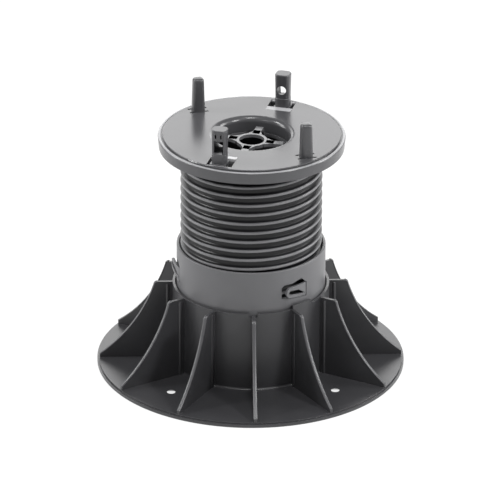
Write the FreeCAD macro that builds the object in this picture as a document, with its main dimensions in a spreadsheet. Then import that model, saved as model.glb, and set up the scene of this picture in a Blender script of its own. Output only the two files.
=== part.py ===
import FreeCAD, Part
import math
import operator
import os

import Sketcher
from FreeCAD import Placement, Rotation, Vector

# Height-adjustable decking pedestal. Origin: centre of the foot's underside, +Z up.
# A collar, which is the nut, turns in the foot's tube and lifts the threaded riser with the head.

# Driving sizes in millimetres and degrees, as cells of the spreadsheet
SIZES = {
    # Foot
    "foot_radius": 100.0,
    "floor_thickness": 3.2,
    "rim_height": 2.2,
    "rim_step": 1.2,
    "rim_round": 0.4,
    "drain_radius": 8.0,
    "tube_bore": 49.3,
    "tube_wall": 1.6,
    "tube_top": 57.1,
    "tube_fillet": 1.5,
    "seat_height": 22.0,
    "seat_wall": 1.8,
    "seat_inset": 0.7,
    "rib_count": 12,
    "rib_thickness": 1.8,
    "rib_shoulder": 10.0,
    "rib_shoulder_round": 2.0,
    "rib_curve": 100.0,
    "rib_toe_height": 5.5,
    "rib_toe_inset": 1.6,
    "rib_bead_radius": 1.5,
    "rib_bead_offset": 3.1,
    "rib_bead_drop": 1.5,
    "tab_azimuth": 38.8,
    "tab_sweep": 16.9,
    "tab_height": 2.6,
    "notch_width": 5.4,
    "notch_depth": 2.4,
    "screw_count": 4,
    "screw_circle": 75.0,
    "screw_hole_radius": 2.7,
    # Collar
    "collar_wall": 2.0,
    "collar_height": 63.0,
    "collar_inset": 1.0,
    "collar_turn": 32.0,
    "collar_rim_round": 0.7,
    "flange_height": 3.0,
    "flange_clearance": 0.08,
    "flange_level": 50.0,
    "bead_height": 1.3,
    "bead_clearance": 0.3,
    "nut_turns": 2.5,
    # Lock levers and their windows, seen from outside: across and up from the lever's middle
    "lever_count": 3,
    "lever_level": 68.0,
    "lever_thickness": 1.5,
    "lever_inset": 0.2,
    "lever_splay": 12.0,
    "lever_reach": 11.3,
    "strip_left": 11.0,
    "strip_right": 16.0,
    "bend_radius": 3.6,
    "bend_across": 3.7,
    "bend_rise": 1.3,
    "arm_width": 2.0,
    "root_rise": 3.9,
    "root_drop": 5.3,
    "slot_reach": 9.9,
    "slot_drop": 3.2,
    "slot_waist": 3.4,
    "pivot_across": 10.55,
    "pivot_radius": 0.5,
    "pivot_depth": 1.0,
    "pivot_clearance": 0.06,
    "window_gap": 0.9,
    "window_side_gap": 0.35,
    "window_low_gap": 0.6,
    "window_high_gap": 1.3,
    "window_peak_across": 6.6,
    "window_peak": 8.3,
    # Riser
    "riser_bottom": 28.0,
    "riser_wall": 2.4,
    "thread_pitch": 6.4,
    "thread_depth": 2.3,
    "thread_base": 3.6,
    "thread_crest": 1.5,
    "thread_gap": 0.4,
    "thread_start": 30.44,
    "thread_runout": 7.16,
    "flank_clearance": 0.32,
    "root_clearance": 0.5,
    "web_thickness": 2.5,
    "hub_bore": 8.2,
    "hub_wall": 1.9,
    "hub_drop": 4.6,
    "spoke_count": 4,
    "spoke_width": 4.8,
    "spoke_thickness": 2.2,
    "spoke_bend": 3.6,
    "spoke_run": 3.24,
    # Head
    "head_top": 162.2,
    "head_radius": 60.5,
    "head_thickness": 3.0,
    "head_turn": -17.0,
    "ledge_width": 2.8,
    "ledge_drop": 1.2,
    "edge_round": 0.6,
    "skirt_depth": 7.5,
    "skirt_wall": 1.6,
    "skirt_draft": 0.6,
    "opening_radius": 24.4,
    "opening_round": 3.6,
    "sleeve_wall": 2.0,
    "sleeve_depth": 9.8,
    "sleeve_gap": 0.4,
    "spigot_depth": 5.0,
    "spigot_wall": 1.8,
    "spigot_clearance": 0.1,
    "head_rib_count": 6,
    "head_rib_thickness": 1.8,
    "head_rib_gap": 0.8,
    "head_window_length": 16.7,
    "head_window_width": 10.3,
    "head_window_along": 7.05,
    "head_window_inset": 12.2,
    "ramp_width": 3.4,
    "ramp_depth": 1.2,
    # Upstands
    "upstand_height": 21.8,
    "upstand_clearance": 0.1,
    "pin_inset": 10.9,
    "pin_angle": 149.5,
    "pin_turn": 30.0,
    "pin_width": 7.4,
    "pin_depth": 7.0,
    "pin_taper": 1.4,
    "pin_round": 1.8,
    "pin_seat": 0.3,
    "slit_length": 12.5,
    "slit_width": 1.5,
    "slit_spacing": 5.6,
    "hook_reach": 0.7,
    "hook_depth": 2.8,
    "leg_width": 6.4,
    "post_along": 1.1,
    "post_in": 0.6,
    "post_height": 22.8,
    "post_width": 8.2,
    "post_corner": 2.0,
    "post_foot": 9.6,
    "post_foot_height": 6.4,
    "post_round": 1.6,
    "post_neck": 10.4,
    "neck_gap": 0.3,
    "eyelet_radius": 3.0,
    "eyelet_height": 12.2,
    "eyelet_wall": 2.0,
    "pocket_width": 6.2,
    "pocket_height": 8.8,
    "pocket_drop": 0.8,
    "groove_width": 1.0,
    "groove_height": 3.2,
    "groove_spacing": 3.5,
    "groove_rise": 6.6,
    "groove_depth": 4.0,
}

SIGNS = {"+": operator.add, "-": operator.sub, "*": operator.mul, "/": operator.truediv}

doc = FreeCAD.newDocument("decking_pedestal")
sheet = doc.addObject("Spreadsheet::Sheet", "Sizes")
for row, (alias, number) in enumerate(SIZES.items(), start=1):
    sheet.set(f"A{row}", alias)
    sheet.set(f"B{row}", str(number))
    sheet.setAlias(f"B{row}", alias)
doc.recompute()


class Dim:
    """A size: its value, and the formula that a feature is bound to."""

    def __init__(self, value, formula):
        self.value = value
        self.formula = formula

    def __add__(self, other):
        return combine(self, "+", other)

    def __radd__(self, other):
        return combine(other, "+", self)

    def __sub__(self, other):
        return combine(self, "-", other)

    def __rsub__(self, other):
        return combine(other, "-", self)

    def __mul__(self, other):
        return combine(self, "*", other)

    def __rmul__(self, other):
        return combine(other, "*", self)

    def __truediv__(self, other):
        return combine(self, "/", other)

    def __rtruediv__(self, other):
        return combine(other, "/", self)

    def __neg__(self):
        return combine(0, "-", self)


def as_dim(size):
    return size if isinstance(size, Dim) else Dim(size, str(size))


def combine(left, sign, right):
    left = as_dim(left)
    right = as_dim(right)
    return Dim(SIGNS[sign](left.value, right.value), f"({left.formula} {sign} {right.formula})")


def cos(angle):
    return Dim(math.cos(math.radians(angle.value)), f"cos({angle.formula})")


def sin(angle):
    return Dim(math.sin(math.radians(angle.value)), f"sin({angle.formula})")


def root(square):
    return Dim(math.sqrt(square.value), f"sqrt({square.formula})")


class Sheet:
    """The spreadsheet's cells, each as a Dim."""

    def __getattr__(self, alias):
        return Dim(float(sheet.get(alias)), f"Sizes.{alias}")


cell = Sheet()


# Helpers for bodies, sketches and features

def new_body(label):
    body = doc.addObject("PartDesign::Body", label)
    body.Label = label
    return body


def datum(body, role):
    return next(item for item in body.Origin.OriginFeatures if item.Role == role)


def bind(feature, path, size):
    feature.setExpression(path, as_dim(size).formula)


def new_sketch(body, name, role, at=(0, 0, 0), axis=Vector(0, 0, 1), angle=0):
    """A sketch on one of the body's planes, moved by at and turned, both in the plane's own axes."""
    sketch = body.newObject("Sketcher::SketchObject", name)
    sketch.AttachmentSupport = [(datum(body, role), "")]
    sketch.MapMode = "FlatFace"
    place = [as_dim(size) for size in at]
    turn = as_dim(angle)
    sketch.AttachmentOffset = Placement(Vector(*[size.value for size in place]), Rotation(axis, turn.value))
    for letter, size in zip("xyz", place):
        if size.value:
            bind(sketch, f"AttachmentOffset.Base.{letter}", size)
    return sketch


def hold(sketch, kind, geometry, size, point=None):
    """Fix a radius, or a point's distance from the sketch's origin, at a size."""
    if point is None:
        rule = Sketcher.Constraint(kind, geometry, size.value)
    elif abs(size.value) < 1e-9:
        rule = Sketcher.Constraint("PointOnObject", geometry, point, -2 if kind == "DistanceX" else -1)
    else:
        rule = Sketcher.Constraint(kind, -1, 1, geometry, point, size.value)
    index = sketch.addConstraint(rule)
    if point is None or abs(size.value) >= 1e-9:
        bind(sketch, f"Constraints[{index}]", size)


def draw_outline(sketch, corners, arcs=None):
    """A closed outline. arcs gives an edge's radius and side: 1 for a centre on its left, -1 right."""
    arcs = arcs or {}
    corners = [(as_dim(across), as_dim(up)) for across, up in corners]
    spots = [Vector(across.value, up.value, 0) for across, up in corners]
    edges = []
    for number, start in enumerate(spots):
        end = spots[(number + 1) % len(spots)]
        if number not in arcs:
            edges.append((sketch.addGeometry(Part.LineSegment(start, end), False), 1, 2))
            continue
        radius, side = arcs[number]
        radius = as_dim(radius)
        chord = end - start
        sagitta = math.sqrt(max(radius.value ** 2 - chord.Length ** 2 / 4, 0))
        centre = (start + end) * 0.5 + Vector(-chord.y, chord.x, 0).normalize() * side * sagitta
        first, last = (start, end) if side > 0 else (end, start)
        angles = [math.atan2(spot.y - centre.y, spot.x - centre.x) for spot in (first, last)]
        circle = Part.Circle(centre, Vector(0, 0, 1), radius.value)
        geometry = sketch.addGeometry(Part.ArcOfCircle(circle, *angles), False)
        edges.append((geometry, 1, 2) if side > 0 else (geometry, 2, 1))
        hold(sketch, "Radius", geometry, radius)
    for number, (geometry, start, _) in enumerate(edges):
        before, _, end = edges[number - 1]
        sketch.addConstraint(Sketcher.Constraint("Coincident", before, end, geometry, start))
        hold(sketch, "DistanceX", geometry, corners[number][0], start)
        hold(sketch, "DistanceY", geometry, corners[number][1], start)


def draw_circle(sketch, radius, across=0, up=0):
    radius = as_dim(radius)
    centre = (as_dim(across), as_dim(up))
    spot = Vector(centre[0].value, centre[1].value, 0)
    geometry = sketch.addGeometry(Part.Circle(spot, Vector(0, 0, 1), radius.value), False)
    hold(sketch, "Radius", geometry, radius)
    hold(sketch, "DistanceX", geometry, centre[0], 3)
    hold(sketch, "DistanceY", geometry, centre[1], 3)


def box(across, up, at=(0, 0)):
    """The corners of a rectangle round a point."""
    left, right = at[0] - across / 2, at[0] + across / 2
    low, high = at[1] - up / 2, at[1] + up / 2
    return [(left, low), (right, low), (right, high), (left, high)]


def rounded_box(width, corner):
    """The corners and arcs of a square with round corners."""
    half = width / 2
    flat = half - corner
    corners = [
        (-flat, -half), (flat, -half), (half, -flat), (half, flat),
        (flat, half), (-flat, half), (-half, flat), (-half, -flat),
    ]
    return corners, {edge: (corner, 1) for edge in range(1, len(corners), 2)}


def revolve(body, name, corners, arcs=None):
    sketch = new_sketch(body, f"{name}_outline", "XZ_Plane")
    draw_outline(sketch, corners, arcs)
    feature = body.newObject("PartDesign::Revolution", name)
    feature.Profile = sketch
    feature.ReferenceAxis = (sketch, ["V_Axis"])
    feature.Angle = 360
    return feature


def extrude(body, kind, name, sketch, length, reverse=False, both=False):
    """A Pad or Pocket of a sketch, one way or, with both, half each way."""
    feature = body.newObject(f"PartDesign::{kind}", name)
    feature.Profile = sketch
    feature.Type = 0
    bind(feature, "Length", length)
    feature.Reversed = reverse
    if both:
        feature.Midplane = True
    return feature


def turn_part(body, name, sketch, sweep):
    """A part of a turn of a section, half to each side of the section's plane."""
    feature = body.newObject("PartDesign::Revolution", name)
    feature.Profile = sketch
    feature.ReferenceAxis = (sketch, ["V_Axis"])
    feature.Midplane = True
    bind(feature, "Angle", sweep)
    return feature


def repeat(body, name, features, count):
    pattern = body.newObject("PartDesign::PolarPattern", name)
    pattern.Originals = features
    pattern.Axis = (datum(body, "Z_Axis"), [""])
    pattern.Angle = 360
    bind(pattern, "Occurrences", count)
    body.Tip = pattern
    return pattern


def helix(body, name, corners, pitch, height):
    """A right-handed ridge round the body's axis, from its section in the XZ plane."""
    sketch = new_sketch(body, f"{name}_section", "XZ_Plane")
    draw_outline(sketch, corners)
    ridge = body.newObject("PartDesign::AdditiveHelix", name)
    ridge.Profile = sketch
    ridge.ReferenceAxis = (sketch, ["V_Axis"])
    ridge.Mode = "pitch-height-angle"
    bind(ridge, "Pitch", pitch)
    bind(ridge, "Height", height)
    ridge.LeftHanded = False
    return ridge


def round_edges(body, name, base, height, radius):
    """Fillet the edges of a feature that lie level at a height."""
    doc.recompute()
    names = []
    for number, edge in enumerate(base.Shape.Edges, start=1):
        if abs(edge.BoundBox.ZMin - height) < 1e-4 and abs(edge.BoundBox.ZMax - height) < 1e-4:
            names.append(f"Edge{number}")
    fillet = body.newObject("PartDesign::Fillet", name)
    fillet.Base = (base, names)
    bind(fillet, "Radius", radius)
    return fillet


def set_down(body, angle, across=0, out=0):
    """Turn a body about the pedestal's axis, after moving it in its own level axes."""
    spot = Rotation(Vector(0, 0, 1), angle).multVec(Vector(across, out, 0))
    body.Placement = Placement(spot, Rotation(Vector(0, 0, 1), angle))


# Sizes that several pieces share

tube_outside = cell.tube_bore + cell.tube_wall
collar_outside = cell.tube_bore - cell.collar_inset
collar_bore = collar_outside - cell.collar_wall
thread_crest_radius = collar_bore - cell.thread_gap
thread_root_radius = thread_crest_radius - cell.thread_depth
riser_bore = thread_root_radius - cell.riser_wall
plate_underside = cell.head_top - cell.head_thickness
sleeve_bottom = cell.head_top - cell.sleeve_depth
web_top = sleeve_bottom - cell.sleeve_gap
window_out = cell.head_radius - cell.head_window_inset
pin_circle = cell.head_radius - cell.pin_inset


# Foot: floor, tube, ribs and screw holes, one moulding

def make_foot():
    body = new_body("base_foot")
    seat_outside = cell.tube_bore - cell.seat_inset
    seat_inside = seat_outside - cell.seat_wall
    bead_bottom = cell.flange_level + cell.flange_height + cell.bead_clearance
    bead_top = bead_bottom + cell.bead_height
    bead_radius = collar_outside + cell.bead_clearance
    ledge_radius = cell.foot_radius - cell.rim_step
    revolve(body, "floor_and_tube", [
        (cell.drain_radius, 0),
        (cell.foot_radius - cell.rim_round, 0),
        (cell.foot_radius, cell.rim_round),
        (cell.foot_radius, cell.rim_height),
        (ledge_radius, cell.rim_height),
        (ledge_radius, cell.floor_thickness),
        (tube_outside + cell.tube_fillet, cell.floor_thickness),
        (tube_outside, cell.floor_thickness + cell.tube_fillet),
        (tube_outside, cell.tube_top),
        (cell.tube_bore, cell.tube_top),
        (cell.tube_bore, bead_top),
        (bead_radius, bead_top - cell.bead_height / 2),
        (bead_radius, bead_bottom),
        (cell.tube_bore, bead_bottom),
        (cell.tube_bore, cell.floor_thickness),
        (seat_outside, cell.floor_thickness),
        (seat_outside, cell.seat_height),
        (seat_inside, cell.seat_height),
        (seat_inside, cell.floor_thickness),
        (cell.drain_radius, cell.floor_thickness),
    ], {6: (cell.tube_fillet, -1)})

    # A rib runs from inside the tube's wall, over its shoulder and down the curve to the toe
    rib_root = tube_outside - cell.tube_wall / 2
    rib_toe = cell.foot_radius - cell.rib_toe_inset
    shoulder = tube_outside + cell.rib_shoulder
    sketch = new_sketch(body, "rib_outline", "XZ_Plane")
    draw_outline(sketch, [
        (rib_root, cell.floor_thickness / 2),
        (rib_toe, cell.floor_thickness / 2),
        (rib_toe, cell.rib_toe_height),
        (shoulder + cell.rib_shoulder_round, cell.tube_top - cell.rib_shoulder_round),
        (shoulder, cell.tube_top),
        (rib_root, cell.tube_top),
    ], {2: (cell.rib_curve, -1), 3: (cell.rib_shoulder_round, 1)})
    rib = extrude(body, "Pad", "rib", sketch, cell.rib_thickness, both=True)
    bead_sketch = new_sketch(body, "rib_bead_outline", "XY_Plane", (0, 0, cell.floor_thickness / 2))
    draw_circle(bead_sketch, cell.rib_bead_radius, tube_outside + cell.rib_bead_offset)
    bead_length = cell.tube_top - cell.rib_bead_drop - cell.floor_thickness / 2
    bead = extrude(body, "Pad", "rib_bead", bead_sketch, bead_length)
    repeat(body, "ribs", [rib, bead], cell.rib_count)

    # The rim has a notch at the front rib and, beside it, a tab
    notch_sketch = new_sketch(body, "notch_outline", "XZ_Plane", (0, 0, cell.tube_bore - cell.tube_wall))
    draw_outline(notch_sketch, box(cell.notch_width, cell.notch_depth * 2, (as_dim(0), cell.tube_top)))
    extrude(body, "Pocket", "notch", notch_sketch, cell.tube_wall * 3, reverse=True)
    across_tab = cell.tab_azimuth - 90
    tab_sketch = new_sketch(body, "tab_section", "XZ_Plane", (0, 0, 0), Vector(0, 1, 0), across_tab)
    draw_outline(tab_sketch, [
        (cell.tube_bore, cell.tube_top - cell.tube_wall),
        (tube_outside, cell.tube_top - cell.tube_wall),
        (tube_outside, cell.tube_top + cell.tab_height),
        (cell.tube_bore, cell.tube_top + cell.tab_height),
    ])
    turn_part(body, "tab", tab_sketch, cell.tab_sweep)

    # Screw holes lie midway between two ribs
    midway = 180 / cell.screw_count
    hole_sketch = new_sketch(body, "screw_hole_outline", "XY_Plane", (0, 0, 0), Vector(0, 0, 1), midway)
    draw_circle(hole_sketch, cell.screw_hole_radius, cell.screw_circle)
    hole = extrude(body, "Pocket", "screw_hole", hole_sketch, cell.floor_thickness, reverse=True)
    repeat(body, "screw_holes", [hole], cell.screw_count)
    return body


# Collar: the nut, with its guide flanges, inside thread and three lever windows

bend_left = -(cell.bend_across + cell.bend_radius)
bend_level = cell.lever_level + cell.bend_rise
bend_high = bend_level + cell.bend_radius
bend_low = bend_level - cell.bend_radius
root_high = cell.lever_level + cell.root_rise
root_low = cell.lever_level - cell.root_drop
window_left = bend_left - cell.window_gap
window_right = cell.lever_reach + cell.window_side_gap
window_high = bend_high + cell.window_high_gap
pivot_radius_out = collar_outside - cell.collar_wall / 2
pivot_back = root(pivot_radius_out * pivot_radius_out - cell.pivot_across * cell.pivot_across)
pivot_low = root_low - cell.window_low_gap - cell.pivot_depth
pivot_high = root_high + cell.window_high_gap + cell.pivot_depth


def make_collar():
    body = new_body("adjusting_collar")
    bottom = cell.seat_height
    top = bottom + cell.collar_height
    flange = cell.tube_bore - cell.flange_clearance
    rim = cell.collar_rim_round
    revolve(body, "sleeve", [
        (collar_bore, bottom),
        (flange, bottom),
        (flange, bottom + cell.flange_height),
        (collar_outside, bottom + cell.flange_height),
        (collar_outside, cell.flange_level),
        (flange, cell.flange_level),
        (flange, cell.flange_level + cell.flange_height),
        (collar_outside, cell.flange_level + cell.flange_height),
        (collar_outside, top - rim),
        (collar_outside - rim, top),
        (collar_bore + rim, top),
        (collar_bore, top - rim),
    ], {8: (rim, 1), 10: (rim, 1)})

    # The nut's ridge runs in the riser's groove, midway between two crests
    slope = (cell.thread_base - cell.thread_crest) / 2 / cell.thread_depth
    groove = cell.thread_pitch - cell.thread_base
    tip = thread_root_radius + cell.root_clearance
    tip_half = groove / 2 + slope * cell.root_clearance - cell.flank_clearance
    foot = collar_bore + cell.collar_wall / 4
    foot_half = tip_half + slope * (foot - tip)
    level = cell.thread_start + cell.thread_pitch * (cell.collar_turn / 360 + 1.5)
    helix(body, "nut_thread", [
        (tip, level - tip_half),
        (foot, level - foot_half),
        (foot, level + foot_half),
        (tip, level + tip_half),
    ], cell.thread_pitch, cell.thread_pitch * cell.nut_turns)

    # A window with a peak at the lever's root; sockets above and below take the lever's pivot
    sketch = new_sketch(body, "window_outline", "XZ_Plane")
    draw_outline(sketch, [
        (window_left, bend_low - cell.window_low_gap),
        (window_right, root_low - cell.window_low_gap),
        (window_right, root_high + cell.window_low_gap / 3),
        (cell.window_peak_across, cell.lever_level + cell.window_peak),
        (as_dim(0), window_high),
        (window_left + cell.bend_radius / 2, window_high),
        (window_left, window_high - cell.bend_radius / 2),
    ])
    window = extrude(body, "Pocket", "window", sketch, cell.tube_bore, reverse=True)
    repeat(body, "windows", [window], cell.lever_count)
    socket_sketch = new_sketch(body, "socket_outline", "XY_Plane", (0, 0, pivot_low))
    draw_circle(socket_sketch, cell.pivot_radius + cell.pivot_clearance, cell.pivot_across, -pivot_back)
    socket = extrude(body, "Pocket", "socket", socket_sketch, pivot_high - pivot_low, reverse=True)
    repeat(body, "sockets", [socket], cell.lever_count)
    set_down(body, cell.collar_turn.value)
    return body


# Lock lever: a curved plate bent like a hairpin, its two arms joined at the pivot

def make_lever(number):
    body = new_body(f"lock_lever_{number}")
    outside = collar_outside - cell.lever_inset
    inside = outside - cell.lever_thickness
    low = root_low - cell.bend_radius
    high = bend_high + cell.bend_radius
    left = -cell.strip_left
    right = cell.strip_right
    strip_sketch = new_sketch(body, "strip_outline", "XY_Plane", (0, 0, low))
    draw_outline(strip_sketch, [
        (inside * sin(left), -inside * cos(left)),
        (outside * sin(left), -outside * cos(left)),
        (outside * sin(right), -outside * cos(right)),
        (inside * sin(right), -inside * cos(right)),
    ], {1: (outside, 1), 3: (inside, -1)})
    extrude(body, "Pad", "strip", strip_sketch, high - low)

    # What lies outside the lever's outline is cut off, then its slot is cut
    elbow = -cell.bend_across
    margin = cell.bend_radius * 2
    sketch = new_sketch(body, "lever_outline", "XZ_Plane")
    draw_outline(sketch, [
        (bend_left - margin, low - margin),
        (cell.lever_reach + margin, low - margin),
        (cell.lever_reach + margin, high + margin),
        (bend_left - margin, high + margin),
    ])
    draw_outline(sketch, [
        (elbow, bend_high),
        (bend_left, bend_level),
        (elbow, bend_low),
        (cell.lever_reach, root_low),
        (cell.lever_reach, root_high),
    ], {0: (cell.bend_radius, 1), 1: (cell.bend_radius, 1)})
    extrude(body, "Pocket", "lever_trim", sketch, cell.tube_bore, reverse=True)
    slot_radius = cell.bend_radius - cell.arm_width
    slot_sketch = new_sketch(body, "lever_slot_outline", "XZ_Plane")
    draw_outline(slot_sketch, [
        (elbow, bend_level + slot_radius),
        (elbow - slot_radius, bend_level),
        (elbow, bend_level - slot_radius),
        (cell.slot_reach, cell.lever_level - cell.slot_drop),
        (cell.slot_waist, bend_level),
    ], {0: (slot_radius, 1), 1: (slot_radius, 1)})
    extrude(body, "Pocket", "lever_slot", slot_sketch, cell.tube_bore, reverse=True)

    pin_low = pivot_low + cell.pivot_clearance
    pivot_sketch = new_sketch(body, "pivot_outline", "XY_Plane", (0, 0, pin_low))
    draw_circle(pivot_sketch, cell.pivot_radius, cell.pivot_across, -pivot_back)
    extrude(body, "Pad", "pivot", pivot_sketch, pivot_high - cell.pivot_clearance - pin_low)

    # At rest the bend stands out of the wall, turned about the pivot
    pivot = Vector(cell.pivot_across.value, -pivot_back.value, 0)
    splay = Placement(Vector(), Rotation(Vector(0, 0, 1), cell.lever_splay.value), pivot)
    around = cell.collar_turn.value + 360 / cell.lever_count.value * (number - 1)
    body.Placement = Placement(Vector(), Rotation(Vector(0, 0, 1), around)) * splay
    return body


# Riser: the threaded tube, with a web and a hub on four bent arms at its top

def make_riser():
    body = new_body("riser_tube")
    web_bottom = web_top - cell.web_thickness
    revolve(body, "tube", [
        (riser_bore, cell.riser_bottom),
        (thread_root_radius, cell.riser_bottom),
        (thread_root_radius, plate_underside),
        (riser_bore, plate_underside),
        (riser_bore, web_top),
        (cell.opening_radius, web_top),
        (cell.opening_radius, web_bottom),
        (riser_bore, web_bottom),
    ])
    hub_top = cell.head_top - cell.hub_drop
    hub_low = hub_top - cell.spoke_thickness
    bend_start = cell.opening_radius - cell.spoke_bend
    slant = cell.spoke_run
    spoke_sketch = new_sketch(body, "spoke_outline", "XZ_Plane")
    draw_outline(spoke_sketch, [
        (0, hub_low),
        (bend_start - cell.spoke_thickness / 2, hub_low),
        (bend_start - cell.spoke_thickness / 2 + slant, web_bottom),
        (cell.opening_radius + cell.spoke_bend / 2, web_bottom),
        (cell.opening_radius + cell.spoke_bend / 2, web_top),
        (bend_start + slant, web_top),
        (bend_start, hub_top),
        (0, hub_top),
    ])
    spoke = extrude(body, "Pad", "spoke", spoke_sketch, cell.spoke_width, both=True)
    repeat(body, "spokes", [spoke], cell.spoke_count)
    hub_sketch = new_sketch(body, "hub_outline", "XY_Plane", (0, 0, hub_low))
    draw_circle(hub_sketch, cell.hub_bore + cell.hub_wall)
    extrude(body, "Pad", "hub", hub_sketch, cell.spoke_thickness)
    bore_sketch = new_sketch(body, "hub_bore_outline", "XY_Plane", (0, 0, hub_top))
    draw_circle(bore_sketch, cell.hub_bore)
    extrude(body, "Pocket", "hub_bore", bore_sketch, cell.spoke_thickness * 2)

    # The thread is cut to the pedestal's axes, so the section is turned back by the head's turn
    level = cell.thread_start + cell.thread_pitch * (cell.head_turn / 360)
    sunk = thread_root_radius - cell.riser_wall / 4
    slope = (cell.thread_base - cell.thread_crest) / 2 / cell.thread_depth
    sunk_half = cell.thread_base / 2 + slope * (cell.riser_wall / 4)
    helix(body, "thread", [
        (sunk, level - sunk_half),
        (thread_crest_radius, level - cell.thread_crest / 2),
        (thread_crest_radius, level + cell.thread_crest / 2),
        (sunk, level + sunk_half),
    ], cell.thread_pitch, plate_underside - cell.thread_runout - cell.thread_start)
    set_down(body, cell.head_turn.value)
    return body


# Head: the round plate with skirt, centre opening, two windows and two pairs of slits

def make_head():
    body = new_body("head_plate")
    plateau = cell.head_radius - cell.ledge_width
    ledge = cell.head_top - cell.ledge_drop
    skirt_bottom = ledge - cell.skirt_depth
    skirt_outside = cell.head_radius - cell.skirt_draft
    skirt_inside = skirt_outside - cell.skirt_wall
    spigot = riser_bore - cell.spigot_clearance
    lip = cell.opening_radius + cell.opening_round
    revolve(body, "plate", [
        (cell.opening_radius, sleeve_bottom),
        (cell.opening_radius + cell.sleeve_wall, sleeve_bottom),
        (cell.opening_radius + cell.sleeve_wall, plate_underside),
        (spigot - cell.spigot_wall, plate_underside),
        (spigot - cell.spigot_wall, plate_underside - cell.spigot_depth),
        (spigot, plate_underside - cell.spigot_depth),
        (spigot, plate_underside),
        (skirt_inside, plate_underside),
        (skirt_inside, skirt_bottom),
        (skirt_outside, skirt_bottom),
        (cell.head_radius, ledge - cell.edge_round),
        (cell.head_radius - cell.edge_round, ledge),
        (plateau, ledge),
        (plateau, cell.head_top - cell.edge_round),
        (plateau - cell.edge_round, cell.head_top),
        (lip, cell.head_top),
        (cell.opening_radius, cell.head_top - cell.opening_round),
    ], {10: (cell.edge_round, 1), 13: (cell.edge_round, 1), 15: (cell.opening_round, 1)})

    rib_sketch = new_sketch(body, "head_rib_outline", "XZ_Plane")
    draw_outline(rib_sketch, [
        (thread_crest_radius + cell.head_rib_gap, plate_underside + cell.head_thickness / 6),
        (thread_crest_radius + cell.head_rib_gap, plate_underside - cell.spigot_depth / 2),
        (skirt_inside + cell.skirt_wall / 2, skirt_bottom + cell.head_thickness / 6),
        (skirt_inside + cell.skirt_wall / 2, plate_underside + cell.head_thickness / 6),
    ])
    rib = extrude(body, "Pad", "head_rib", rib_sketch, cell.head_rib_thickness, both=True)
    repeat(body, "head_ribs", [rib], cell.head_rib_count)

    # Window with a shallow ramp along each long edge
    window_sketch = new_sketch(body, "head_window_outline", "XY_Plane", (0, 0, cell.head_top))
    middle = (cell.head_window_along, window_out)
    draw_outline(window_sketch, box(cell.head_window_length, cell.head_window_width, middle))
    window = extrude(body, "Pocket", "head_window", window_sketch, cell.head_thickness)
    repeat(body, "head_windows", [window], 2)
    ramp_sketch = new_sketch(body, "ramp_section", "YZ_Plane", (0, 0, cell.head_window_along))
    near = window_out - cell.head_window_width / 2
    far = window_out + cell.head_window_width / 2
    draw_outline(ramp_sketch, [
        (near - cell.ramp_width, cell.head_top),
        (near, cell.head_top - cell.ramp_depth),
        (far, cell.head_top - cell.ramp_depth),
        (far + cell.ramp_width / 2, cell.head_top),
    ])
    ramp = extrude(body, "Pocket", "ramp", ramp_sketch, cell.head_window_length, both=True)
    repeat(body, "ramps", [ramp], 2)

    slit_sketch = new_sketch(
        body, "slit_outlines", "XY_Plane",
        (pin_circle * cos(cell.pin_angle), pin_circle * sin(cell.pin_angle), cell.head_top),
        Vector(0, 0, 1), cell.pin_turn,
    )
    for side in (-1, 1):
        place = (as_dim(0), cell.slit_spacing / 2 * side)
        draw_outline(slit_sketch, box(cell.slit_length, cell.slit_width, place))
    slits = extrude(body, "Pocket", "slits", slit_sketch, cell.head_thickness)
    seat_sketch = new_sketch(
        body, "pin_seat_outline", "XY_Plane",
        (pin_circle * cos(cell.pin_angle), pin_circle * sin(cell.pin_angle), cell.head_top),
        Vector(0, 0, 1), cell.pin_turn,
    )
    play = 2 * cell.upstand_clearance
    middle = (as_dim(0), as_dim(0))
    draw_outline(seat_sketch, box(cell.pin_width + play, cell.pin_depth + play, middle))
    seat = extrude(body, "Pocket", "pin_seat", seat_sketch, cell.pin_seat)
    repeat(body, "pin_places", [slits, seat], 2)
    set_down(body, cell.head_turn.value)
    return body


def draw_leg(sketch, side, outside, thickness):
    """A leg through the plate, on one side of the piece's middle, with a hook under the plate."""
    under = plate_underside - cell.upstand_clearance
    draw_outline(sketch, [
        ((outside - thickness) * side, cell.head_top),
        ((outside - thickness) * side, under - cell.hook_depth),
        (outside * side, under - cell.hook_depth),
        ((outside + cell.hook_reach) * side, under),
        (outside * side, under),
        (outside * side, cell.head_top),
    ])


# Spacer pin: a slim tapered upstand, clipped in a pair of slits

def make_pin(number):
    body = new_body(f"spacer_pin_{number}")
    sketch = new_sketch(body, "shaft_outline", "XY_Plane", (0, 0, cell.head_top - cell.pin_seat))
    draw_outline(sketch, box(cell.pin_width, cell.pin_depth, (as_dim(0), as_dim(0))))
    shaft = extrude(body, "Pad", "shaft", sketch, cell.upstand_height + cell.pin_seat)
    bind(shaft, "TaperAngle", -cell.pin_taper)
    round_edges(body, "top_round", shaft, (cell.head_top + cell.upstand_height).value, cell.pin_round)
    outside = (cell.slit_spacing + cell.slit_width) / 2 - cell.upstand_clearance
    leg_sketch = new_sketch(body, "leg_outlines", "YZ_Plane")
    for side in (-1, 1):
        draw_leg(leg_sketch, side, outside, cell.slit_width - 2 * cell.upstand_clearance)
    extrude(body, "Pad", "legs", leg_sketch, cell.leg_width, both=True)
    around = cell.head_turn.value + 180 * (number - 1)
    angle = cell.pin_angle.value - cell.pin_turn.value
    across = pin_circle.value * math.cos(math.radians(angle))
    out = pin_circle.value * math.sin(math.radians(angle))
    set_down(body, around + cell.pin_turn.value, across, out)
    return body


# Eyelet post: a square post with a screw eyelet, clipped in a window

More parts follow.
